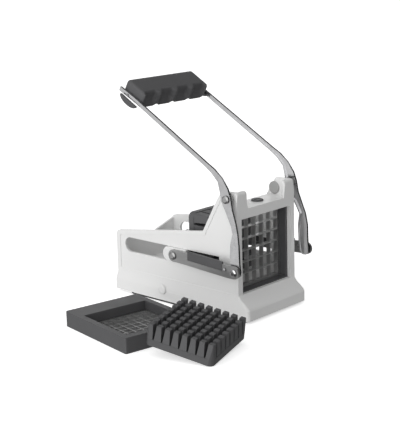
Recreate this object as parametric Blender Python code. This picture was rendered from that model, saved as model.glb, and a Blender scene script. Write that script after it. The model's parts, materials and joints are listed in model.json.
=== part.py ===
"""Hand-lever vegetable dicer with a suction base, a spare cutting insert and a spare pusher head.

Origin: centre of the suction pad's underside. +X right, -Y front (where the sticks come out), +Z up.
Lengths are metres; MM turns the millimetres of the drawing into metres.
"""

import bmesh
import bpy
from math import atan2, cos, pi, radians, sin
from mathutils import Matrix, Vector

MM = 0.001
GAP = 0.3 * MM                      # clearance between pieces that touch
FRONT = -110.0 * MM                 # front face of the frame, along Y
HOVER = 3.0 * MM                    # lower edge of the housing above the table

# housing; distances along Y count from the front face, heights from the table
BODY_X = 47.1 * MM                  # half width of the walls
SKIRT_X = 48.6 * MM                 # half width of the flared skirt
SKIRT_FRONT = 14.2 * MM             # how far the skirt stands forward of the frame
SKIRT_REAR = 186.5 * MM
REAR_WALL = 182.0 * MM
POST_TOP = 137.5 * MM
POST_X = 29.8 * MM                  # inner side of the front posts
POST_DEPTH = 4.5 * MM
WING_X = 41.0 * MM                  # inner side of the wings
WING_FOOT = (48.2 * MM, 91.0 * MM)  # where the wing's rear edge meets the wall top
WING_HEAD = 21.7 * MM
TAIL_TOP = 72.3 * MM                # wall top at the rear
BEAM_TOP = 118.9 * MM
BEAM_DEPTH = 28.0 * MM
LID = 2.4 * MM                      # thickness of the beam's top and of the trough floor
FLOOR_TOP = 30.0 * MM
PANEL_DEPTH = 0.6 * MM
TROUGH_X = 43.5 * MM
TROUGH_START = 26.3 * MM
TROUGH_END = 179.2 * MM
POCKET_X = 45.3 * MM                # pocket that holds the cutting insert
POCKET = (4.3 * MM, 21.5 * MM)
BULKHEAD_X = 39.5 * MM
OPENING = (40.0 * MM, 28.4 * MM, 108.9 * MM)   # half width, sill, head
SLOT_Z = 58.1 * MM
SLOT_HALF = 8.4 * MM
SLOT_START = 26.5 * MM
SLOT_END = 160.4 * MM               # centre of the slot's round rear end

# cutting inserts
CUT = 74.4 * MM                     # side of the square cutting field
CUT_Z = 68.6 * MM                   # its centre height in the machine
CASSETTE = (90.0 * MM, 112.8 * MM, 16.6 * MM)  # width, height, thickness
RECESS = (76.0 * MM, 78.0 * MM)
WIDE_RIM = 26.2 * MM
CASSETTE_Y = 4.6 * MM
CASSETTE_Z = 3.4 * MM
BLADE = 0.8 * MM
BLADE_DEPTH = 5.6 * MM

# pusher and linkage
HEAD_HALF = 36.7 * MM
HEAD_PLATE = 7.0 * MM
HEAD_BACK = 78.0 * MM               # rear face of the pusher head
PIVOT = (7.5 * MM, 131.8 * MM)      # handle pivot, from the front face and from the table
CRANK = (-6.5 * MM, 58.0 * MM)      # lower end of the arms
AXLE_Y = 89.5 * MM
AXLE_R = 3.1 * MM
SHOE = (73.0 * MM, 107.5 * MM)      # ends of the slide shoes
LINK_THICK = 2.4 * MM
LINK_HALF = 6.7 * MM
LINK_FLAT = 9.0 * MM                # length of a link's straight ends
LINK_REAR_X = 49.0 * MM             # inner face of a link at the axle
LINK_FRONT_X = 59.4 * MM            # inner face of a link at the arm
ARM_WEB_THICK = 1.7 * MM
PIN_R = 2.3 * MM

# grip
GRIP_CENTRE = (140.8 * MM, 230.6 * MM)
GRIP_HALF = 50.7 * MM
GRIP_TILT = radians(30.2)
GRIP_SECTION = (31.0 * MM, 16.8 * MM)
GRIP_ROD_R = 1.4 * MM

# suction base
PAD_X = 46.0 * MM                   # half width of the suction pad
PAD_START = -8.0 * MM
PAD_END = 166.0 * MM
CAM_Z = 15.5 * MM                   # height of the cam shaft, straight above the origin
SHAFT_R = 3.4 * MM
CAM_OFFSET = 1.2 * MM
LEVER_REACH = 34.0 * MM

# loose spares lying on the table
SPARE_CASSETTE_AT = (-167.9 * MM, 25.0 * MM)   # the rear left corner
SPARE_CASSETTE_TURN = radians(-10.14)
SPARE_HEAD_AT = (-161.7 * MM, -174.9 * MM)     # the corner that touches the table
SPARE_HEAD_TURN = radians(-75.1)


def clear_scene():
    for item in list(bpy.data.objects):
        bpy.data.objects.remove(item, do_unlink=True)


def make_material(name, colour, roughness, metallic=0.0):
    material = bpy.data.materials.new(name)
    material.use_nodes = True
    shader = material.node_tree.nodes["Principled BSDF"]
    shader.inputs["Base Color"].default_value = (*colour, 1.0)
    shader.inputs["Roughness"].default_value = roughness
    shader.inputs["Metallic"].default_value = metallic
    return material


def add_object(name, mesh_builder, material=None, smooth=False):
    mesh = bpy.data.meshes.new(name)
    bmesh.ops.recalc_face_normals(mesh_builder, faces=mesh_builder.faces)
    if mesh_builder.calc_volume(signed=True) < 0:
        bmesh.ops.reverse_faces(mesh_builder, faces=mesh_builder.faces)
    mesh_builder.to_mesh(mesh)
    mesh_builder.free()
    if smooth:
        mesh.shade_smooth()
        mesh.set_sharp_from_angle(angle=radians(35))
    if material:
        mesh.materials.append(material)
    item = bpy.data.objects.new(name, mesh)
    bpy.context.scene.collection.objects.link(item)
    return item


def place_origin(item, point):
    """Moves the object's origin to a point and leaves its shape where it is."""
    item.data.transform(Matrix.Translation(-Vector(point)))
    item.location = point


def front(distance):
    """Y of a point at this distance behind the front face."""
    return FRONT + distance


def prism(name, outline, axis, low, high, material=None, smooth=False):
    """Extrudes an outline along X, Y or Z. Its points are the two other coordinates, in X, Y, Z order."""
    def point(pair, along):
        values = list(pair)
        values.insert("XYZ".index(axis), along)
        return Vector(values)

    builder = bmesh.new()
    face = builder.faces.new([builder.verts.new(point(pair, low)) for pair in outline])
    grown = bmesh.ops.extrude_face_region(builder, geom=[face])
    moved = [v for v in grown["geom"] if isinstance(v, bmesh.types.BMVert)]
    bmesh.ops.translate(builder, verts=moved, vec=point((0, 0), high - low))
    return add_object(name, builder, material, smooth)


def block(name, low, high, material=None, bevel=0.0):
    builder = bmesh.new()
    bmesh.ops.create_cube(builder, size=1.0)
    low, high = Vector(low), Vector(high)
    size, middle = high - low, (low + high) / 2
    for vert in builder.verts:
        vert.co = Vector([c * s + m for c, s, m in zip(vert.co, size, middle)])
    if bevel:
        bmesh.ops.bevel(builder, geom=builder.edges, offset=bevel, segments=2, profile=0.5,
                        affect="EDGES", material=-1)
    return add_object(name, builder, material)


def rounded(corners, radii, steps=4):
    """Outline through the corners, each one rounded by its radius."""
    outline = []
    for i, corner in enumerate(corners):
        here = Vector(corner)
        before = (Vector(corners[i - 1]) - here).normalized()
        after = (Vector(corners[(i + 1) % len(corners)]) - here).normalized()
        radius = radii[i] if isinstance(radii, (list, tuple)) else radii
        if radius == 0:
            outline.append(tuple(here))
            continue
        half = before.angle(after) / 2
        reach = radius / (sin(half) / cos(half))
        centre = here + (before + after).normalized() * radius / sin(half)
        start, end = here + before * reach - centre, here + after * reach - centre
        turn = start.angle_signed(end)
        for k in range(steps + 1):
            part = Matrix.Rotation(-turn * k / steps, 2) @ start
            outline.append(tuple(centre + part))
    return outline


def rectangle(half_x, low, high):
    return [(-half_x, low), (half_x, low), (half_x, high), (-half_x, high)]


def turned(name, profile, centre, axis, material=None, steps=24):
    """Turns a closed profile of (distance along, radius) round an axis through the centre."""
    builder = bmesh.new()
    verts = [builder.verts.new((radius, 0, along)) for along, radius in profile]
    edges = [builder.edges.new((verts[i], verts[(i + 1) % len(verts)])) for i in range(len(verts))
             if profile[i][1] > 0 or profile[(i + 1) % len(verts)][1] > 0]
    bmesh.ops.spin(builder, geom=verts + edges, cent=(0, 0, 0), axis=(0, 0, 1), angle=2 * pi,
                   steps=steps, use_merge=True)
    bmesh.ops.remove_doubles(builder, verts=builder.verts, dist=1e-6)
    frame = Vector((0, 0, 1)).rotation_difference(Vector(axis)).to_matrix().to_4x4()
    builder.transform(Matrix.Translation(centre) @ frame)
    return add_object(name, builder, material, smooth=True)


def rod(name, low, high, radius, centre, axis, material=None, steps=24):
    return turned(name, [(low, 0), (low, radius), (high, radius), (high, 0)], centre, axis, material, steps)


def apply_boolean(item, tool, operation):
    modifier = item.modifiers.new(operation.title(), "BOOLEAN")
    modifier.operation = operation
    modifier.solver = "EXACT"
    modifier.object = tool
    tool.hide_render = True
    tool.display_type = "WIRE"


def cut(item, *tools):
    for tool in tools:
        apply_boolean(item, tool, "DIFFERENCE")


def join(item, *tools):
    for tool in tools:
        apply_boolean(item, tool, "UNION")


def loft(name, rings, material=None, smooth=False):
    """Closed body through rings of equally many points."""
    builder = bmesh.new()
    loops = [[builder.verts.new(point) for point in ring] for ring in rings]
    for near, far in zip(loops, loops[1:]):
        for i in range(len(near)):
            k = (i + 1) % len(near)
            builder.faces.new((near[i], near[k], far[k], far[i]))
    builder.faces.new(loops[0])
    builder.faces.new(loops[-1])
    return add_object(name, builder, material, smooth)


def both_sides():
    return (("left", -1), ("right", 1))


# ---------------------------------------------------------------- housing

def make_skirt():
    """The flared foot of the housing: upright at the table, drawn in on all four sides above."""
    def ring(half_x, low_y, high_y, height, radius):
        corners = [(-half_x, low_y), (half_x, low_y), (half_x, high_y), (-half_x, high_y)]
        return [(x, y, height) for x, y in rounded(corners, radius)]

    levels = [(0.0, 0.0), (10.8 * MM, 0.0), (12.8 * MM, 0.08), (16.0 * MM, 0.32), (20.5 * MM, 0.74),
              (25.4 * MM, 1.0)]
    rings = []
    for height, share in levels:
        half_x = SKIRT_X + (BODY_X + 0.05 * MM - SKIRT_X) * share
        low = front(-SKIRT_FRONT * (1 - share) - 0.05 * MM * share)
        high = front(SKIRT_REAR + (REAR_WALL + 0.05 * MM - SKIRT_REAR) * share)
        rings.append(ring(half_x, low, high, HOVER + height, 4.0 * MM - 2.5 * MM * share))
    return loft("skirt_form", rings)


def side_outline():
    foot = HOVER + 16 * MM
    return rounded(
        [(front(0), foot), (front(0), POST_TOP), (front(WING_HEAD), POST_TOP),
         (front(WING_FOOT[0]), WING_FOOT[1]), (front(REAR_WALL), TAIL_TOP), (front(REAR_WALL), foot)],
        [0, 3.0 * MM, 3.0 * MM, 2.0 * MM, 5.0 * MM, 0])


def panel_outline():
    """The shallow panel in each wall, a rim's width inside the outline."""
    foot, rim = HOVER + 26 * MM, 4.2 * MM
    head = (front(WING_HEAD - 2.6 * MM), POST_TOP - rim)
    return rounded(
        [(front(3.6 * MM), foot), (front(3.6 * MM), head[1]), head,
         (front(WING_FOOT[0] - 2.2 * MM), WING_FOOT[1] - rim),
         (front(REAR_WALL - 5.6 * MM), TAIL_TOP - rim - 0.2 * MM), (front(REAR_WALL - 5.6 * MM), foot)],
        [0.8 * MM, 2.0 * MM, 2.0 * MM, 2.0 * MM, 3.0 * MM, 2.0 * MM], steps=3)


def slot_outline():
    turns = [pi * k / 10 for k in range(1, 10)]
    low, high = SLOT_Z - SLOT_HALF, SLOT_Z + SLOT_HALF
    curve = [(front(SLOT_END) + SLOT_HALF * sin(a), SLOT_Z - SLOT_HALF * cos(a)) for a in turns]
    start, end = front(SLOT_START), front(SLOT_END)
    return [(start, low), (end, low), *curve, (end, high), (start, high)]


def notch_outline():
    """Low middle and rising sides of the rear wall's top edge."""
    half = [(11 * MM, 58.2 * MM), (16 * MM, 61.0 * MM), (TROUGH_X, 69.6 * MM), (TROUGH_X, 80 * MM)]
    return [*half, *[(-x, z) for x, z in reversed(half)]]


def make_housing(white):
    housing = prism("housing", side_outline(), "X", -BODY_X, BODY_X, white)
    join(housing, make_skirt())
    half, sill, head = OPENING
    behind = front(WING_FOOT[0] + MM)
    below, above = HOVER - MM, POST_TOP + MM
    cut(
        housing,
        block("cut_pocket", (-POCKET_X, front(POCKET[0]), below),
              (POCKET_X, front(POCKET[1]), BEAM_TOP - LID)),
        block("cut_bulkhead", (-BULKHEAD_X, front(20 * MM), sill + MM),
              (BULKHEAD_X, front(30 * MM), head - MM)),
        block("cut_trough", (-TROUGH_X, front(TROUGH_START), FLOOR_TOP),
              (TROUGH_X, front(TROUGH_END), 95 * MM)),
        block("cut_behind_beam", (-WING_X, front(BEAM_DEPTH), 90 * MM), (WING_X, behind, above)),
        block("cut_between_wings", (-WING_X, front(POST_DEPTH), BEAM_TOP), (WING_X, behind, above)),
        block("cut_between_posts", (-POST_X, front(-5 * MM), BEAM_TOP), (POST_X, front(8 * MM), above)),
        block("cut_opening", (-half, front(-5 * MM), sill), (half, front(8 * MM), head)),
        block("cut_base", (-TROUGH_X, front(TROUGH_START), below),
              (TROUGH_X, front(TROUGH_END), FLOOR_TOP - LID)),
        prism("cut_lip",
              [(front(1.6 * MM), below), (front(-11.6 * MM), below), (front(-11.6 * MM), HOVER + 9 * MM),
                          (front(-2 * MM), HOVER + 18 * MM), (front(1.6 * MM), HOVER + 18 * MM)],
              "X", -TROUGH_X, TROUGH_X),
        prism("cut_slots", slot_outline(), "X", -60 * MM, 60 * MM),
        prism("cut_notch", notch_outline(), "Y", front(175 * MM), front(190 * MM)),
        prism("cut_panel_left", panel_outline(), "X", -60 * MM, -BODY_X + PANEL_DEPTH),
        prism("cut_panel_right", panel_outline(), "X", BODY_X - PANEL_DEPTH, 60 * MM),
        rod("cut_pivots", -60 * MM, 60 * MM, PIN_R + GAP, (0, front(PIVOT[0]), PIVOT[1]), (1, 0, 0)),
        rod("cut_shaft", -60 * MM, 60 * MM, SHAFT_R + GAP, (0, 0, CAM_Z), (1, 0, 0)),
        rod("cut_knob", -10 * MM, 10 * MM, 2.6 * MM, (*knob_place(), BEAM_TOP), (0, 0, 1)),
    )
    for x, y in cover_screw_places():
        post = rod("screw_post", HOVER + 3.0 * MM, FLOOR_TOP - MM, 4.2 * MM, (x, y, 0), (0, 0, 1), steps=12)
        join(housing, post)
        cut(housing, rod("cut_post", HOVER, HOVER + 14 * MM, 1.7 * MM, (x, y, 0), (0, 0, 1), steps=12))
    return housing


def knob_place():
    return 4 * MM, front(15.6 * MM)


def cover_screw_places():
    return [(x, front(y)) for y in (62 * MM, 172 * MM) for x in (-36 * MM, 36 * MM)]


def make_base(white, rubber, steel):
    """Bottom cover with its screws, and the suction pad, which reaches almost to the body's edge."""
    side = TROUGH_X - GAP
    low_y, high_y = front(TROUGH_START) + GAP, front(TROUGH_END) - GAP
    outline = [(-side, low_y), (side, low_y), (side, high_y), (-side, high_y)]
    cover = prism("base_cover", outline, "Z", HOVER + GAP, HOVER + 2.3 * MM, white)
    cut(cover, rod("cut_boss", -0.01, 0.02, 13.3 * MM, (0, 0, 0), (0, 0, 1)))
    for number, (x, y) in enumerate(cover_screw_places(), 1):
        cut(cover, rod("cut_screw", -0.01, 0.02, 1.9 * MM, (x, y, 0), (0, 0, 1), steps=12))
        turned(f"cover_screw_{number}",
               [(HOVER - 1.2 * MM, 0), (HOVER - 1.2 * MM, 2.4 * MM), (HOVER - 0.6 * MM, 3.0 * MM),
                (HOVER, 3.0 * MM), (HOVER, 1.4 * MM), (HOVER + 12 * MM, 1.4 * MM), (HOVER + 13 * MM, 0)],
               (x, y, 0), (0, 0, 1), steel, steps=12)
    outline = rounded(
        [(-PAD_X, front(PAD_START)), (PAD_X, front(PAD_START)), (PAD_X, front(PAD_END)), (-PAD_X, front(PAD_END))],
        [6.0 * MM] * 4)
    pad = prism("suction_pad", outline, "Z", 0, HOVER - GAP, rubber)
    join(pad, turned("pad_boss", [(MM, 0), (MM, 13.0 * MM), (6.4 * MM, 12.0 * MM), (6.4 * MM, 0)],
                     (0, 0, 0), (0, 0, 1)))
    cut(pad, rod("cut_stem", 2.2 * MM, 8 * MM, 4.3 * MM, (0, 0, 0), (0, 0, 1)))
    for x, y in cover_screw_places():
        cut(pad, rod("cut_screw", -MM, 4 * MM, 3.6 * MM, (x, y, 0), (0, 0, 1), steps=12))


def make_suction_drive(dark, steel, white):
    """Cam shaft across the base, the stem that it lifts, the lever and the button on its ends."""
    at = (0, 0, CAM_Z)
    lean = radians(-45)
    eccentric = (0, CAM_OFFSET * cos(lean), CAM_Z + CAM_OFFSET * sin(lean))
    shaft = rod("cam_shaft", -48.8 * MM, 54.0 * MM, SHAFT_R, at, (1, 0, 0), steel)
    join(shaft, rod("cam_lobe", -4 * MM, 4 * MM, 4.6 * MM, eccentric, (1, 0, 0)))
    place_origin(shaft, at)
    middle = CAM_Z + CAM_OFFSET * sin(lean)
    stem = block("suction_stem", (-3 * MM, -9 * MM, middle - 7.4 * MM),
                 (3 * MM, 9 * MM, middle + 7.2 * MM), steel)
    join(stem, rod("stem_rod", 2.6 * MM, middle - 6.6 * MM, 3.9 * MM, (0, 0, 0), (0, 0, 1)))
    cut(stem, block("cut_window", (-5 * MM, -6.4 * MM, middle - 5.1 * MM),
                    (5 * MM, 6.4 * MM, middle + 5.1 * MM)))
    button = turned("shaft_button",
                    [(-49.1 * MM, 0), (-49.1 * MM, 5.5 * MM), (-49.9 * MM, 5.3 * MM), (-50.4 * MM, 3.8 * MM),
                     (-50.4 * MM, 0)], at, (1, 0, 0), white)
    place_origin(button, at)
    reach = LEVER_REACH
    outline = [(7.0 * MM * sin(a), 7.0 * MM * cos(a)) for a in [pi + pi * k / 10 for k in range(11)]]
    outline += [(reach + 5.0 * MM * sin(a), 5.0 * MM * cos(a)) for a in [pi * k / 8 for k in range(9)]]
    lever = prism("suction_lever", [(y, CAM_Z + z) for y, z in outline], "X", 50.2 * MM, 54.6 * MM, dark)
    cut(lever, rod("cut_hub", 45 * MM, 54.0 * MM, SHAFT_R + GAP, at, (1, 0, 0)))
    join(lever, block("lever_tab", (54 * MM, reach - 7 * MM, CAM_Z - 4.6 * MM),
                      (58 * MM, reach + 3 * MM, CAM_Z + 4.6 * MM)))
    place_origin(lever, at)


def make_lock_knob(dark):
    at = (*knob_place(), BEAM_TOP)
    knob = turned("grid_lock_knob",
                  [(-2.6 * MM, 0), (-2.6 * MM, 2.3 * MM), (GAP, 2.3 * MM),
                   (GAP, 6.6 * MM), (1.3 * MM, 6.6 * MM),
                   (1.9 * MM, 5.6 * MM), (1.9 * MM, 0)], at, (0, 0, 1), dark)
    cut(knob, block("cut_grip_slot", (at[0] - 4.6 * MM, at[1] - 0.7 * MM, at[2] + 1.3 * MM),
                    (at[0] + 4.6 * MM, at[1] + 0.7 * MM, at[2] + 4 * MM)))
    place_origin(knob, at)


# ---------------------------------------------------------------- cutting inserts

def strips(cells, bar, margin):
    """Edges, from the low side, of alternating bars and cells across the cutting field."""
    pitch = CUT / cells
    edges = [-CUT / 2 - margin]
    for i in range(cells):
        edges.append(-CUT / 2 + pitch * i + bar / 2)
        edges.append(-CUT / 2 + pitch * (i + 1) - bar / 2)
    edges.append(CUT / 2 + margin)
    return edges


def strip_grid(builder, across, up):
    """A flat grid of faces in the plane Z = 0, and those faces by column and row."""
    points = [[builder.verts.new((x, y, 0)) for y in up] for x in across]
    faces = {}
    for i in range(len(across) - 1):
        for k in range(len(up) - 1):
            faces[i, k] = builder.faces.new(
                (points[i][k], points[i + 1][k], points[i + 1][k + 1], points[i][k + 1]))
    return faces


def extrude_down(builder, depth):
    grown = bmesh.ops.extrude_face_region(builder, geom=builder.faces[:])
    moved = [v for v in grown["geom"] if isinstance(v, bmesh.types.BMVert)]
    bmesh.ops.translate(builder, verts=moved, vec=(0, 0, -depth))


def blade_form(name, cells, material, frame):
    """Square lattice of blades in a thin steel rim. Its cutting edges face local +Z."""
    builder = bmesh.new()
    faces = strip_grid(builder, strips(cells, BLADE, 2.4 * MM), strips(cells, BLADE, 3.4 * MM))
    openings = [face for (i, k), face in faces.items() if i % 2 and k % 2]
    bmesh.ops.delete(builder, geom=openings, context="FACES")
    extrude_down(builder, BLADE_DEPTH)
    builder.transform(frame)
    return add_object(name, builder, material)


def cassette_form(name, material, frame):
    """Insert frame: a slab with a deep rim on one end. Its recess opens to local +Z."""
    width, height, thick = CASSETTE
    centre_y = WIDE_RIM + RECESS[1] / 2 - height / 2
    builder = bmesh.new()
    outline = rounded(rectangle(width / 2, -height / 2, height / 2), 2.0 * MM, steps=3)
    face = builder.faces.new([builder.verts.new((x, y, thick)) for x, y in outline])
    extrude_down(builder, thick)
    body = add_object(name, builder, material)
    recess = rectangle(RECESS[0] / 2, centre_y - RECESS[1] / 2, centre_y + RECESS[1] / 2)
    pocket_x = CUT / 2 + 2.4 * MM + GAP
    pocket_y = CUT / 2 + 3.4 * MM + GAP
    pocket = rectangle(pocket_x, centre_y - pocket_y, centre_y + pocket_y)
    tools = [prism("cut_recess", recess, "Z", -MM, thick + MM),
             prism("cut_pocket", pocket, "Z", -MM, BLADE_DEPTH + 2 * GAP)]
    for tool in tools:
        tool.data.transform(frame)
    body.data.transform(frame)
    cut(body, *tools)
    return body, Vector((0, centre_y, BLADE_DEPTH + GAP))


def head_form(name, cells, gap, pin_length, taper, material, frame):
    """Pusher head: a plate with one tapered pin for each cell, pins towards local +Z, back face at Z = 0."""
    edges = strips(cells, gap, HEAD_HALF - CUT / 2)
    builder = bmesh.new()
    faces = strip_grid(builder, edges, edges)
    pins = [face for (i, k), face in faces.items() if i % 2 and k % 2]
    extrude_down(builder, HEAD_PLATE)
    bmesh.ops.translate(builder, verts=builder.verts, vec=(0, 0, HEAD_PLATE))
    pins = [face for face in pins if face.is_valid]
    grown = bmesh.ops.extrude_discrete_faces(builder, faces=pins)
    for face in grown["faces"]:
        middle = face.calc_center_median()
        for vert in face.verts:
            vert.co = middle + (vert.co - middle) * taper + Vector((0, 0, pin_length))
    builder.transform(frame)
    head = add_object(name, builder, material)
    reach = HEAD_HALF + 0.1 * MM
    corners = rounded(rectangle(reach, -reach, reach), 6.0 * MM, steps=4)
    trim = prism("trim", corners, "Z", -MM, HEAD_PLATE + pin_length + MM)
    trim.data.transform(frame)
    apply_boolean(head, trim, "INTERSECT")
    return head


def make_installed_insert(dark, steel):
    upright = Matrix.Rotation(radians(90), 4, "X")          # local +Z turns to the front
    height, thick = CASSETTE[1], CASSETTE[2]
    frame = Matrix.Translation((0, front(CASSETTE_Y + thick), CASSETTE_Z + height / 2)) @ upright
    _, seat = cassette_form("cassette_six", dark, frame)
    blade_form("blade_grid_six", 6, steel, frame @ Matrix.Translation(seat))


def make_spare_insert(dark, steel):
    width, height, _ = CASSETTE
    x, y = SPARE_CASSETTE_AT
    turn = Matrix.Translation((x, y, 0)) @ Matrix.Rotation(SPARE_CASSETTE_TURN, 4, "Z")
    frame = turn @ Matrix.Translation((width / 2, -height / 2, 0)) @ Matrix.Rotation(pi, 4, "Z")
    _, seat = cassette_form("spare_cassette_eight", dark, frame)
    blade_form("spare_blade_grid_eight", 8, steel, frame @ Matrix.Translation(seat))


def spare_head_frame():
    """Rests on one corner on the table and on the spare insert's front top edge."""
    turn = Matrix.Rotation(SPARE_CASSETTE_TURN, 3, "Z")
    along, away = turn @ Vector((1, 0, 0)), turn @ Vector((0, 1, 0))
    corner = Vector((*SPARE_HEAD_AT, 0))
    edge = Vector((*SPARE_CASSETTE_AT, 0)) - away * CASSETTE[1]
    tilt = atan2(CASSETTE[2] + 2 * GAP, (edge - corner).dot(away))
    lean = Matrix.Rotation(tilt, 4, along)
    spin = Matrix.Rotation(SPARE_HEAD_TURN, 4, "Z")
    return Matrix.Translation(corner) @ lean @ spin @ Matrix.Translation((-HEAD_HALF, HEAD_HALF, 0))


# ---------------------------------------------------------------- pusher

def make_pusher(dark, steel, white):
    upright = Matrix.Rotation(radians(90), 4, "X")
    frame = Matrix.Translation((0, front(HEAD_BACK), CUT_Z)) @ upright
    head_form("pusher_head_six", 6, 2.1 * MM, 19.5 * MM, 0.80, dark, frame)
    y, z = front(AXLE_Y), SLOT_Z
    rear = front(HEAD_BACK)
    carriage = block("pusher_carriage", (-27 * MM, rear + GAP, 44 * MM), (27 * MM, y + 9 * MM, 80 * MM),
                     dark, bevel=1.5 * MM)
    cut(carriage,
        block("cut_carriage", (-19 * MM, rear + 5.5 * MM, 64 * MM), (19 * MM, y + 20 * MM, 100 * MM)),
        rod("cut_axle", -60 * MM, 60 * MM, AXLE_R + GAP, (0, y, z), (1, 0, 0)))
    head = bpy.data.objects["pusher_head_six"]
    for side, sign in both_sides():
        at = (12 * MM * sign, rear, 72 * MM)
        cut(carriage, rod("cut_screw", -MM, 20 * MM, 1.9 * MM, at, (0, 1, 0), steps=12))
        cut(head, rod("cut_screw", -5 * MM, 2 * MM, 1.9 * MM, at, (0, 1, 0), steps=12))
        turned(f"head_screw_{side}",
               [(-4.5 * MM, 0), (-4.5 * MM, 1.6 * MM), (5.8 * MM, 1.6 * MM), (5.8 * MM, 3.2 * MM),
                (7.6 * MM, 2.6 * MM), (7.6 * MM, 0)], at, (0, 1, 0), steel, steps=12)
    end = LINK_REAR_X + LINK_THICK + GAP
    turned("pusher_axle",
           [(-end - 1.8 * MM, 0), (-end - 1.8 * MM, 2.6 * MM), (-end - 0.9 * MM, 4.4 * MM), (-end, 4.4 * MM),
            (-end, AXLE_R), (end, AXLE_R), (end, 4.4 * MM), (end + 0.9 * MM, 4.4 * MM),
            (end + 1.8 * MM, 2.6 * MM), (end + 1.8 * MM, 0)], (0, y, z), (1, 0, 0), steel)
    half = SLOT_HALF - GAP
    turns = [pi * k / 8 for k in range(9)]
    low_y, round_y = front(SHOE[0]), front(SHOE[1]) - half
    end = [(round_y + half * sin(a), z - half * cos(a)) for a in turns]
    outline = [(low_y, z - half)] + end + [(low_y, z + half)]
    for side, sign in both_sides():
        low, high = sorted((sign * (TROUGH_X + GAP), sign * 48.5 * MM))
        shoe = prism(f"slide_shoe_{side}", outline, "X", low, high, white)
        cut(shoe, rod("cut_shoe", -60 * MM, 60 * MM, AXLE_R + GAP, (0, y, z), (1, 0, 0)))


# ---------------------------------------------------------------- links

def link_outline(radius, low_y, high_y, z):
    turns = [pi * k / 8 for k in range(9)]
    outline = [(high_y + radius * sin(a), z + radius * cos(a)) for a in turns]
    return outline + [(low_y - radius * sin(a), z - radius * cos(a)) for a in turns]


def lean_outwards(item, sign):
    """Bends a shape drawn at X = 0 along the link, whose ends are flat and whose middle runs outwards."""
    rear, fore = front(AXLE_Y) - LINK_FLAT, front(CRANK[0]) + LINK_FLAT
    builder = bmesh.new()
    builder.from_mesh(item.data)
    for y in (rear, fore):
        geometry = builder.verts[:] + builder.edges[:] + builder.faces[:]
        bmesh.ops.bisect_plane(builder, geom=geometry, plane_co=(0, y, 0), plane_no=(0, 1, 0))
    for vert in builder.verts:
        share = min(max((rear - vert.co.y) / (rear - fore), 0.0), 1.0)
        vert.co.x = sign * (LINK_REAR_X + (LINK_FRONT_X - LINK_REAR_X) * share + vert.co.x)
    if sign < 0:
        bmesh.ops.reverse_faces(builder, faces=builder.faces)
    builder.to_mesh(item.data)
    builder.free()


def make_link(side, sign, steel, dark, bright):
    rear, fore, z = front(AXLE_Y), front(CRANK[0]), SLOT_Z
    low, high = front(9.5 * MM), front(66 * MM)
    bar = prism(f"link_{side}", link_outline(LINK_HALF, fore, rear, z), "X", 0, LINK_THICK, steel)
    shelf, top = z - 0.8 * MM, z + 5.4 * MM
    top = z + 9 * MM
    window = prism("cut_link", [(low, shelf), (high, shelf), (high, top), (low, top)], "X", -2 * MM, 6 * MM)
    corners = [(low + GAP, shelf + GAP), (high - GAP, shelf + GAP), (high - GAP, top), (low + GAP, top)]
    insert = prism(f"link_insert_{side}", rounded(corners, 1.4 * MM), "X",
                   0.2 * MM, LINK_THICK + 0.2 * MM, dark)
    for item in (bar, window, insert):
        lean_outwards(item, sign)
    eye = rod("cut_eye", -70 * MM, 70 * MM, AXLE_R + GAP, (0, rear, z), (1, 0, 0))
    cut(bar, window, eye)
    inner, face = LINK_FRONT_X + 0.2 * MM, LINK_FRONT_X + LINK_THICK + GAP
    for name, y, height, shank, size in (("front_rivet", fore, z, 2.2 * MM, 3.9 * MM),
                                         ("stop_pin", fore + 12 * MM, z + 1.6 * MM, 0.9 * MM, 1.6 * MM)):
        cut(bar, rod("cut_rivet", -70 * MM, 70 * MM, shank + GAP, (0, y, height), (1, 0, 0), steps=16))
        rivet = turned(f"{name}_{side}",
                       [(inner, 0), (inner, shank), (face + 0.3 * MM, shank), (face + 0.3 * MM, size),
                        (face + 0.9 * MM, size), (face + 1.7 * MM, size * 0.6), (face + 1.7 * MM, 0)],
                       (0, y, height), (sign, 0, 0), bright, steps=16)
        place_origin(rivet, (0, rear, z))
    place_origin(bar, (0, rear, z))
    place_origin(insert, (0, rear, z))


# ---------------------------------------------------------------- handle

def arm_stations():
    """Centre line of an arm: distance from the front, height, width, outer face in X, depth of the web."""
    rows = [(158.4, 235.6, 4.6, 54.5, 3.2), (133.4, 222.5, 4.2, 54.5, 3.2), (84.0, 194.0, 4.2, 54.6, 3.2),
            (35.0, 165.4, 4.4, 54.8, 3.4), (25.0, 159.3, 5.6, 55.0, 3.6), (15.8, 151.0, 7.0, 55.0, 3.8),
            (10.7, 141.0, 11.2, 55.1, 4.2), (8.2, 132.0, 13.0, 55.2, 4.2), (3.9, 120.0, 9.0, 55.4, 4.2),
            (-2.1, 107.0, 6.8, 56.1, 4.2), (-5.3, 98.0, 6.4, 57.4, 4.2), (-5.1, 86.0, 10.8, 58.2, 4.2),
            (-4.8, 76.0, 11.8, 58.2, 2.9), (-5.2, 66.0, 11.8, 58.2, 2.9), (-6.1, 58.0, 12.2, 58.2, 2.9),
            (-6.5, 54.0, 10.4, 58.2, 2.9), (-6.5, 51.7, 3.6, 58.2, 2.9)]
    return [tuple(value * MM for value in row) for row in rows]


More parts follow.
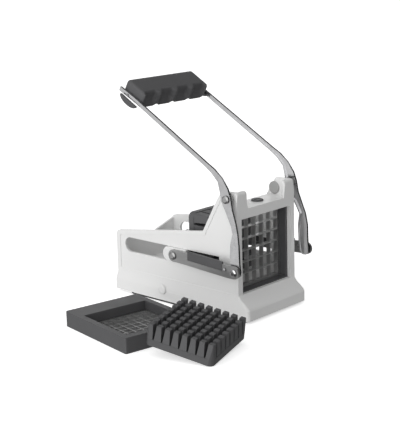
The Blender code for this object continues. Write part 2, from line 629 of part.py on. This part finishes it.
def make_arm(side, sign, chrome):
    """Angle section: an outer plate and, along its front edge, a web turned inwards."""
    stations = arm_stations()
    plate = 2.5 * MM        # wall of the outer plate
    rings = []
    for i, (y, z, width, outer, depth) in enumerate(stations):
        before, after = stations[max(i - 1, 0)], stations[min(i + 1, len(stations) - 1)]
        along = Vector((after[0] - before[0], after[1] - before[1])).normalized()
        across = Vector((-along.y, along.x))
        web = width / 2 - ARM_WEB_THICK
        section = [(outer, -width / 2), (outer, width / 2), (outer - plate, width / 2),
                   (outer - plate, -web), (outer - depth, -web), (outer - depth, -width / 2)]
        rings.append([(sign * x, front(y) - across.x * w, z - across.y * w) for x, w in section])
    arm = loft(f"arm_{side}", rings, chrome)
    centre = (0, front(PIVOT[0]), PIVOT[1])
    cut(arm,
        rod("cut_pivot", -60 * MM, 60 * MM, PIN_R + GAP, centre, (1, 0, 0)),
        rod("cut_rod", -60 * MM, 60 * MM, GRIP_ROD_R + GAP, (0, *grip_rod_place()), (1, 0, 0), steps=12))
    return arm


def grip_rod_place():
    """On the arms' centre line, inside the grip."""
    return front(146.0 * MM), 228.8 * MM


def grip_axes():
    along = Vector((0, cos(GRIP_TILT), sin(GRIP_TILT)))     # towards the rear and up
    up = Vector((0, -sin(GRIP_TILT), cos(GRIP_TILT)))
    return along, up


def make_grip(rubber):
    """Rounded bar along X with four finger hollows in the side that faces forward and down."""
    along, up = grip_axes()
    centre = Vector((0, front(GRIP_CENTRE[0]), GRIP_CENTRE[1]))
    length, thick = GRIP_SECTION
    columns, fingers = 32, 4
    rings = []
    for i in range(columns + 1):
        x = -GRIP_HALF + 2 * GRIP_HALF * i / columns
        ridge = abs(cos(pi * fingers * i / columns)) ** 6
        hollow = 3.4 * MM * (1 - ridge)
        low_a, high_a = -length / 2 + hollow, length / 2
        corners = [(low_a, -thick / 2), (high_a, -thick / 2), (high_a, thick / 2), (low_a, thick / 2)]
        section = rounded(corners, [4.0 * MM, 4.0 * MM, 3.4 * MM, 3.0 * MM], steps=3)
        rings.append([centre + along * a + up * u + Vector((x, 0, 0)) for a, u in section])
    grip = loft("grip", rings, rubber, smooth=True)
    place = (0, *grip_rod_place())
    cut(grip, rod("cut_grip", -60 * MM, 60 * MM, GRIP_ROD_R + GAP, place, (1, 0, 0), steps=12))
    return grip


def make_handle(chrome, rubber, steel, dark, nylon):
    pivot = (0, front(PIVOT[0]), PIVOT[1])
    parts = [make_grip(rubber)]
    y, z = grip_rod_place()
    parts.append(rod("grip_rod", -54.8 * MM, 54.8 * MM, GRIP_ROD_R, (0, y, z), (1, 0, 0), steel, steps=12))
    along, up = grip_axes()
    start = Vector((0, y, z)) - up * 2.4 * MM - along * 5.0 * MM
    turns = [pi * k / 12 for k in range(13)]
    outline = [start + along * 13.5 * MM * cos(a) - up * 6.0 * MM * sin(a) for a in turns]
    for side, sign in both_sides():
        parts.append(make_arm(side, sign, chrome))
        low, high = sorted((sign * 54.9 * MM, sign * 58.3 * MM))
        parts.append(prism(f"grip_end_cap_{side}", [(p.y, p.z) for p in outline], "X", low, high, dark))
        turned(f"pivot_pin_{side}",
               [(41.2 * MM, 0), (41.2 * MM, PIN_R), (55.9 * MM, PIN_R), (55.9 * MM, 4.2 * MM),
                (56.6 * MM, 4.2 * MM), (57.6 * MM, 2.6 * MM), (57.6 * MM, 0)], pivot, (sign, 0, 0), steel)
        turned(f"pivot_bush_{side}",
               [(47.4 * MM, PIN_R + GAP), (47.4 * MM, 4.1 * MM),
                (52.2 * MM, 4.1 * MM), (52.2 * MM, PIN_R + GAP)],
               pivot, (sign, 0, 0), nylon)
        turned(f"wing_plug_{side}",
               [(39.4 * MM, 0), (39.4 * MM, 6.0 * MM), (40.0 * MM, 6.9 * MM),
                (40.7 * MM, 6.9 * MM), (40.7 * MM, 0)],
               (0, front(22.0 * MM), 126.0 * MM), (sign, 0, 0), nylon)
    for part in parts:
        place_origin(part, pivot)


def main():
    clear_scene()
    white = make_material("white_plastic", (0.84, 0.84, 0.83), 0.35)
    dark = make_material("dark_plastic", (0.10, 0.10, 0.105), 0.5)
    rubber = make_material("black_rubber", (0.045, 0.045, 0.048), 0.7)
    soft_grip = make_material("soft_grip", (0.09, 0.09, 0.095), 0.6)
    chrome = make_material("chrome", (0.75, 0.75, 0.76), 0.12, 1.0)
    steel = make_material("brushed_steel", (0.55, 0.55, 0.55), 0.35, 1.0)
    nylon = make_material("grey_nylon", (0.55, 0.55, 0.54), 0.5)
    make_housing(white)
    make_base(white, rubber, steel)
    make_suction_drive(dark, steel, white)
    make_lock_knob(dark)
    make_installed_insert(dark, steel)
    make_pusher(dark, steel, white)
    for side, sign in both_sides():
        make_link(side, sign, steel, dark, chrome)
    make_handle(chrome, soft_grip, steel, dark, nylon)
    make_spare_insert(dark, steel)
    head_form("spare_pusher_head_eight", 8, 1.6 * MM, 15.0 * MM, 0.66, dark, spare_head_frame())


main()
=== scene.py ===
import bmesh
import bpy
import json
from math import radians
from mathutils import Matrix, Vector


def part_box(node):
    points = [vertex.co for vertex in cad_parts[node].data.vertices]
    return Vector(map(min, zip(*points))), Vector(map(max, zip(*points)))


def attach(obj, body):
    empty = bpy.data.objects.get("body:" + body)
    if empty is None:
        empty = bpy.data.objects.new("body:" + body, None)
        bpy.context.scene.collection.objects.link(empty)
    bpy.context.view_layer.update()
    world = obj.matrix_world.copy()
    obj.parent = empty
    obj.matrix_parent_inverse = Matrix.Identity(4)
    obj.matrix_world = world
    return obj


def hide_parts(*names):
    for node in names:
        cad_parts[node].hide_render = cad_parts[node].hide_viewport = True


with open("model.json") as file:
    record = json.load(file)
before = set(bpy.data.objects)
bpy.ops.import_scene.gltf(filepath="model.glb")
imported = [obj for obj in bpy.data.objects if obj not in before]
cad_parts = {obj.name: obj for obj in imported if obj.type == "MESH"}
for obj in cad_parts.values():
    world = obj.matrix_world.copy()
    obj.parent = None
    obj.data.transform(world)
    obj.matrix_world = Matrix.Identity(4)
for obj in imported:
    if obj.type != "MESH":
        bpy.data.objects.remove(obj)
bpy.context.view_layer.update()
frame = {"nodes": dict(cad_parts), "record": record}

mm = 0.001


def newMaterial(name):                      # returns the material, its nodes, its links and its shader
    material = bpy.data.materials.new(name)
    material.use_nodes = True
    tree = material.node_tree
    return material, tree.nodes, tree.links, tree.nodes["Principled BSDF"]


def setShader(shader, **values):
    for key, value in values.items():
        shader.inputs[key.replace("_", " ")].default_value = value


def objectPattern(nodes, links, scale=(1.0, 1.0, 1.0), turn=(0.0, 0.0, 0.0)):
    coords = nodes.new("ShaderNodeTexCoord")
    mapping = nodes.new("ShaderNodeMapping")
    mapping.inputs["Scale"].default_value = scale
    mapping.inputs["Rotation"].default_value = turn
    links.new(coords.outputs["Object"], mapping.inputs["Vector"])
    return mapping.outputs["Vector"]


def noise(nodes, links, vector, scale, detail=4.0, rough=0.5):
    node = nodes.new("ShaderNodeTexNoise")
    node.inputs["Scale"].default_value = scale
    node.inputs["Detail"].default_value = detail
    node.inputs["Roughness"].default_value = rough
    links.new(vector, node.inputs["Vector"])
    return node.outputs["Fac"]


def ramp(nodes, links, value, stops):
    node = nodes.new("ShaderNodeValToRGB")
    while len(node.color_ramp.elements) < len(stops):
        node.color_ramp.elements.new(0.5)
    for element, (place, colour) in zip(node.color_ramp.elements, stops):
        element.position = place
        element.color = (*colour, 1.0) if len(colour) == 3 else colour
    links.new(value, node.inputs["Fac"])
    return node.outputs["Color"]


def span(nodes, links, value, low, high):
    node = nodes.new("ShaderNodeMapRange")
    node.inputs["To Min"].default_value = low
    node.inputs["To Max"].default_value = high
    links.new(value, node.inputs["Value"])
    return node.outputs["Result"]


def bump(nodes, links, shader, height, strength, distance):
    node = nodes.new("ShaderNodeBump")
    node.inputs["Strength"].default_value = strength
    node.inputs["Distance"].default_value = distance
    links.new(height, node.inputs["Height"])
    links.new(node.outputs["Normal"], shader.inputs["Normal"])


def mouldedPlastic(name, colour, spread, gloss, grain):
    material, nodes, links, shader = newMaterial(name)
    vector = objectPattern(nodes, links)
    cloudy = noise(nodes, links, vector, 18.0, 3.0)
    low = tuple(max(part - spread, 0.0) for part in colour)
    links.new(ramp(nodes, links, cloudy, [(0.3, low), (0.7, colour)]), shader.inputs["Base Color"])
    links.new(span(nodes, links, noise(nodes, links, vector, 60.0), *gloss), shader.inputs["Roughness"])
    fineness, strength, depth = grain
    bump(nodes, links, shader, noise(nodes, links, vector, fineness, 2.0), strength, depth)
    return material, shader


def brushedMetal(name, colour, gloss, stretch, strength):
    material, nodes, links, shader = newMaterial(name)
    vector = objectPattern(nodes, links, stretch)
    lines = noise(nodes, links, vector, 1.0, 5.0, 0.65)
    dull = tuple(part * 0.82 for part in colour)
    links.new(ramp(nodes, links, lines, [(0.3, dull), (0.7, colour)]), shader.inputs["Base Color"])
    links.new(span(nodes, links, lines, *gloss), shader.inputs["Roughness"])
    setShader(shader, Metallic=1.0)
    bump(nodes, links, shader, lines, strength, 0.0002)
    return material


def bladeMetal(name, axis, edgeAt, side, edge):
    material, nodes, links, shader = newMaterial(name)     # bright ground edge, duller flanks
    split = nodes.new("ShaderNodeSeparateXYZ")
    links.new(objectPattern(nodes, links), split.inputs["Vector"])
    place = nodes.new("ShaderNodeMapRange")
    place.inputs["From Min"].default_value, place.inputs["From Max"].default_value = edgeAt
    links.new(split.outputs[axis], place.inputs["Value"])
    tone = ramp(nodes, links, place.outputs["Result"], [(0.0, side), (1.0, edge)])
    links.new(tone, shader.inputs["Base Color"])
    grind = noise(nodes, links, objectPattern(nodes, links, (400.0, 400.0, 400.0)), 1.0)
    links.new(span(nodes, links, grind, 0.28, 0.45), shader.inputs["Roughness"])
    setShader(shader, Metallic=0.85)
    return material


plasticLook = {                             # colour, its spread, roughness range, grain fineness, strength, depth
    "whitePlastic": ((0.80, 0.80, 0.795), 0.012, (0.30, 0.40), (900.0, 0.05, 0.0002)),
    "darkPlastic": ((0.085, 0.085, 0.088), 0.012, (0.42, 0.58), (1400.0, 0.16, 0.0003)),
    "blackRubber": ((0.012, 0.012, 0.013), 0.003, (0.5, 0.65), (700.0, 0.10, 0.0003)),
    "softGrip": ((0.088, 0.088, 0.091), 0.012, (0.55, 0.70), (1600.0, 0.22, 0.0003)),
    "greyNylon": ((0.36, 0.36, 0.355), 0.02, (0.40, 0.55), (900.0, 0.10, 0.0002)),
}
metalLook = {                               # colour, roughness range, stretch of the brushing, bump strength
    "armChrome": ((0.68, 0.68, 0.69), (0.10, 0.18), (90.0, 90.0, 90.0), 0.02),
    "chrome": ((0.62, 0.62, 0.63), (0.07, 0.14), (90.0, 90.0, 90.0), 0.02),
    "brushedSteel": ((0.40, 0.40, 0.40), (0.28, 0.44), (500.0, 24.0, 500.0), 0.25),
}
bladeLook = {                               # axis of the cut, where the edge starts and ends, flank, edge
    "bladeSix": ("Y", (-0.0925, -0.0943), (0.50, 0.50, 0.50), (0.60, 0.60, 0.60)),
    "bladeEight": ("Z", (0.0048, 0.0058), (0.40, 0.40, 0.40), (0.46, 0.46, 0.46)),
}


def makeMaterials():
    made = {}
    for name, look in plasticLook.items():
        made[name], shader = mouldedPlastic(name, *look)
        if name == "whitePlastic":
            setShader(shader, Coat_Weight=0.12, Coat_Roughness=0.18)
    for name, look in metalLook.items():
        made[name] = brushedMetal(name, *look)
    for name, look in bladeLook.items():
        made[name] = bladeMetal(name, *look)
    slots = {"white_plastic": "whitePlastic", "dark_plastic": "darkPlastic", "black_rubber": "blackRubber",
             "soft_grip": "softGrip", "grey_nylon": "greyNylon", "brushed_steel": "brushedSteel"}
    for slot, name in slots.items():        # the slot chrome already has its material's name
        made[slot] = made[name]
    return made


slotOf = {row["node"]: row["material_slot"] for row in frame["record"]["subparts"]}
bodyOf = {}
for body, nodesOfBody in frame["record"]["behaviour"]["bodies"].items():
    bodyOf.update({node: body for node in nodesOfBody})
materials = makeMaterials()
print("materials made")


def finishPiece(name, builder, node, slot=None, angle=35):
    mesh = bpy.data.meshes.new(name)
    builder.normal_update()
    builder.to_mesh(mesh)
    builder.free()
    mesh.shade_smooth()
    mesh.set_sharp_from_angle(angle=radians(angle))
    mesh.materials.append(materials[slot or slotOf[node]])
    item = bpy.data.objects.new(name, mesh)
    bpy.context.scene.collection.objects.link(item)
    flatFaces = item.modifiers.new("flatFaces", "WEIGHTED_NORMAL")     # large faces flat, bevels round
    flatFaces.keep_sharp = True
    flatFaces.weight = 80
    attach(item, bodyOf[node])
    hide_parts(node)


def meshOf(node):
    builder = bmesh.new()
    builder.from_mesh(frame["nodes"][node].data)
    builder.transform(frame["nodes"][node].matrix_world)
    bmesh.ops.remove_doubles(builder, verts=builder.verts, dist=2e-6)
    bmesh.ops.dissolve_limit(builder, angle_limit=radians(1.0), verts=builder.verts, edges=builder.edges)
    return builder


def softenEdges(builder, width, angle=28, segments=3):
    sharp = [edge for edge in builder.edges
             if len(edge.link_faces) == 2 and edge.calc_face_angle() > radians(angle)]
    bmesh.ops.bevel(builder, geom=sharp, offset=width, affect="EDGES", segments=segments, profile=0.5,
                    material=-1, clamp_overlap=True)


def roundOver(node, width, slot=None, angle=28, segments=3):
    builder = meshOf(node)
    softenEdges(builder, width, angle, segments)
    finishPiece(f"{node}_look", builder, node, slot)


softEdges = {                               # bevel width in millimetres
    "cassette_six": 0.7, "spare_cassette_eight": 1.1, "base_cover": 0.3, "pusher_carriage": 0.4,
    "slide_shoe_left": 0.5, "slide_shoe_right": 0.5, "link_left": 0.35, "link_right": 0.35,
    # the dark link inserts are pieces set where the links show only shade: painted shade
    "link_insert_left": 0.25, "link_insert_right": 0.25, "arm_left": 0.7, "arm_right": 0.7,
    "suction_lever": 0.6, "grip_end_cap_left": 0.8, "grip_end_cap_right": 0.8,
    "pusher_head_six": 0.7, "spare_pusher_head_eight": 0.8, "suction_pad": 0.3,
}
ownMetal = {"arm_left": "armChrome", "arm_right": "armChrome"}


def makeSoftened():
    for node, width in softEdges.items():
        roundOver(node, width * mm, ownMetal.get(node))
    print("softened pieces made")


housingLook = {                             # millimetres: three bevel widths, then where their edges are found
    "crown": 2.6, "edges": 0.55, "flare": 2.2,
    "flareTop": 22.0, "topBand": 3.3, "postSide": 29.8, "beamTop": 118.9, "beamGap": 3.0,
}


def makeHousing():
    look = housingLook
    builder = meshOf("housing")
    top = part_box("housing")[1][2]
    crown = []                              # rounded tops of the front posts and the wings
    for edge in builder.edges:
        if len(edge.link_faces) != 2 or edge.calc_face_angle() < radians(28):
            continue
        ends = [vert.co for vert in edge.verts]
        across = abs(ends[0].x - ends[1].x) > 0.01 * mm
        high = not across and all(co.z > top - look["topBand"] * mm for co in ends)
        inner = all(abs(abs(co.x) - look["postSide"] * mm) < mm for co in ends)
        if high or (inner and (ends[0].z + ends[1].z) / 2 > (look["beamTop"] + look["beamGap"]) * mm):
            crown.append(edge)
    bmesh.ops.bevel(builder, geom=crown, offset=look["crown"] * mm, affect="EDGES", segments=5, profile=0.5,
                    material=-1, clamp_overlap=False)
    flare = [edge for edge in builder.edges                  # lets the foot run out in a soft curve
             if len(edge.link_faces) == 2 and radians(12) < edge.calc_face_angle() < radians(34)
             and max(vert.co.z for vert in edge.verts) < look["flareTop"] * mm
             and abs(edge.verts[0].co.z - edge.verts[1].co.z) < 0.1 * mm]
    bmesh.ops.bevel(builder, geom=flare, offset=look["flare"] * mm, affect="EDGES", segments=3, profile=0.5,
                    material=-1, clamp_overlap=True)
    softenEdges(builder, look["edges"] * mm, angle=34)
    finishPiece("housing_look", builder, "housing")
    print("housing made")


def paintTheRest():
    own = {"blade_grid_six": "bladeSix", "spare_blade_grid_eight": "bladeEight"}
    for name, item in frame["nodes"].items():
        item.data.materials.clear()
        item.data.materials.append(materials[own.get(name, slotOf[name])])
    print("other pieces painted")


gripShape = {                               # degrees, millimetres, a count, and two shares of a finger's width
    "tilt": 30.2, "length": 31.0, "thick": 16.8, "corner": 3.4, "fingers": 4, "hollow": 5.2, "lip": 2.2,
    "ridge": 0.10, "slope": 0.30,
}


def smoothStep(low, high, value):
    share = min(max((value - low) / (high - low), 0.0), 1.0)
    return share * share * (3 - 2 * share)


def makeGrip():
    low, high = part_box("grip")
    low, high = Vector(low), Vector(high)
    half = (high.x - low.x) / 2
    centre = (low + high) / 2
    shape = gripShape
    halfLength, halfThick = shape["length"] / 2 * mm, shape["thick"] / 2 * mm
    corner, fingers, ridge = shape["corner"] * mm, shape["fingers"], shape["ridge"]
    builder = bmesh.new()
    bmesh.ops.create_cube(builder, size=2.0)
    for axis, cuts in enumerate((63, 13, 7)):
        edges = [edge for edge in builder.edges
                 if abs(edge.verts[0].co[axis] - edge.verts[1].co[axis]) > 1.9]
        bmesh.ops.subdivide_edges(builder, edges=edges, cuts=cuts, use_grid_fill=True)
    sizes = Vector((half, halfLength, halfThick))
    for vert in builder.verts:
        spot = Vector([part * size for part, size in zip(vert.co, sizes)])
        core = Vector([min(max(part, corner - size), size - corner) for part, size in zip(spot, sizes)])
        if (spot - core).length > 0:
            spot = core + (spot - core).normalized() * corner
        along = (spot.x + half) / (2 * half) * fingers
        fromRidge = 2 * abs(along - round(along))                 # 0 on a ridge, 1 at a finger's middle
        inside = ridge < along < fingers - ridge
        finger = smoothStep(ridge, ridge + shape["slope"], fromRidge) if inside else 0.0
        frontness = smoothStep(0.0, 1.0, (-spot.y - halfLength * 0.5) / (halfLength * 0.4))
        height = spot.z / halfThick
        scoop = 1.0 - 0.25 * height ** 2 if height > 0 else smoothStep(-1.05, -0.2, height)
        spot.y += finger * frontness * scoop * shape["hollow"] * mm
        spot.z -= finger * frontness * smoothStep(0.0, -1.0, height) * shape["lip"] * mm
        vert.co = spot
    builder.transform(Matrix.Translation(centre) @ Matrix.Rotation(radians(shape["tilt"]), 4, "X"))
    bmesh.ops.recalc_face_normals(builder, faces=builder.faces)
    finishPiece("grip_body", builder, "grip", angle=60)
    print("grip made")


view = {
    "place": (-0.8987, -0.8527, 0.388), "azimuth": -47.0, "elevation": 13.37, "roll": -1.61, "lens": 96.62,
}
studio = {                                  # direction, cosine where it fades out and is full, strength
    "overhead": ((-0.30, 0.15, 0.94), (0.40, 0.90), 0.60),
    "left": ((-0.97, -0.05, 0.10), (0.70, 0.97), 1.60),
    "front": ((0.05, -0.97, 0.10), (0.60, 0.95), 0.18),
    "leftLow": ((-0.75, 0.62, -0.24), (0.80, 0.95), 0.45),
    "rear": ((0.70, 0.66, 0.20), (0.90, 0.98), 0.9),
    "fill": ((-0.66, -0.70, -0.10), (0.90, 0.98), 0.75),
    "frontCard": ((0.72, -0.62, 0.12), (0.78, 0.93), -0.30),
    "upperCard": ((0.71, 0.44, 0.53), (0.80, 0.95), -0.30),  # black cards take ambient light away
}
ambient = {"above": 0.33, "below": 0.30}
floorLook = {"colour": (0.95, 0.95, 0.95, 1.0), "glow": 0.55, "size": 8.0}


def makeCamera():
    camera = bpy.data.cameras.new("camera")
    camera.lens = view["lens"]
    camera.clip_start = 0.05
    item = bpy.data.objects.new("camera", camera)
    turn = Matrix.Rotation(radians(view["azimuth"]), 4, "Z")
    turn = turn @ Matrix.Rotation(radians(90 - view["elevation"]), 4, "X")
    turn = turn @ Matrix.Rotation(radians(view["roll"]), 4, "Z")
    item.matrix_world = Matrix.Translation(view["place"]) @ turn
    bpy.context.scene.collection.objects.link(item)
    bpy.context.scene.camera = item
    print("camera placed")


def softBox(nodes, links, direction, aim, fade, strength):
    along = nodes.new("ShaderNodeVectorMath")
    along.operation = "DOT_PRODUCT"
    along.inputs[1].default_value = Vector(aim).normalized()
    links.new(direction, along.inputs[0])
    glow = nodes.new("ShaderNodeMapRange")
    glow.interpolation_type = "SMOOTHSTEP"
    glow.inputs["From Min"].default_value, glow.inputs["From Max"].default_value = fade
    glow.inputs["To Max"].default_value = strength
    links.new(along.outputs["Value"], glow.inputs["Value"])
    return glow.outputs["Result"]


def addUp(nodes, links, first, second):
    total = nodes.new("ShaderNodeMath")
    links.new(first, total.inputs[0])
    links.new(second, total.inputs[1])
    return total.outputs["Value"]


def makeStudio():
    world = bpy.data.worlds.new("studio")
    world.use_nodes = True
    nodes, links = world.node_tree.nodes, world.node_tree.links
    direction = nodes.new("ShaderNodeTexCoord").outputs["Generated"]
    lower = ambient["below"] - ambient["above"]
    glow = softBox(nodes, links, direction, (0.0, 0.0, -1.0), (-0.05, 0.25), lower)
    base = nodes.new("ShaderNodeMath")
    base.inputs[1].default_value = ambient["above"]
    links.new(glow, base.inputs[0])
    total = base.outputs["Value"]
    for aim, fade, strength in studio.values():
        total = addUp(nodes, links, total, softBox(nodes, links, direction, aim, fade, strength))
    nodes["Background"].inputs["Color"].default_value = (1.0, 1.0, 1.0, 1.0)
    links.new(total, nodes["Background"].inputs["Strength"])
    bpy.context.scene.world = world
    bpy.context.scene.view_settings.view_transform = "Standard"
    print("studio lit")


def makeFloor():
    builder = bmesh.new()
    bmesh.ops.create_grid(builder, x_segments=1, y_segments=1, size=floorLook["size"])
    mesh = bpy.data.meshes.new("floor")
    builder.to_mesh(mesh)
    builder.free()
    floor = bpy.data.objects.new("floor", mesh)
    bpy.context.scene.collection.objects.link(floor)
    material, _, _, shader = newMaterial("paleFloor")
    setShader(shader, Base_Color=floorLook["colour"], Roughness=0.9, Emission_Color=(1.0, 1.0, 1.0, 1.0),
              Emission_Strength=floorLook["glow"])
    setShader(shader, Specular_IOR_Level=0.0)
    mesh.materials.append(material)
    floor.visible_diffuse = False           # the floor glows, so it is kept from lighting the object
    floor.visible_glossy = False
    print("floor laid")


paintTheRest()
makeSoftened()
makeHousing()
makeGrip()
makeCamera()
makeStudio()
makeFloor()
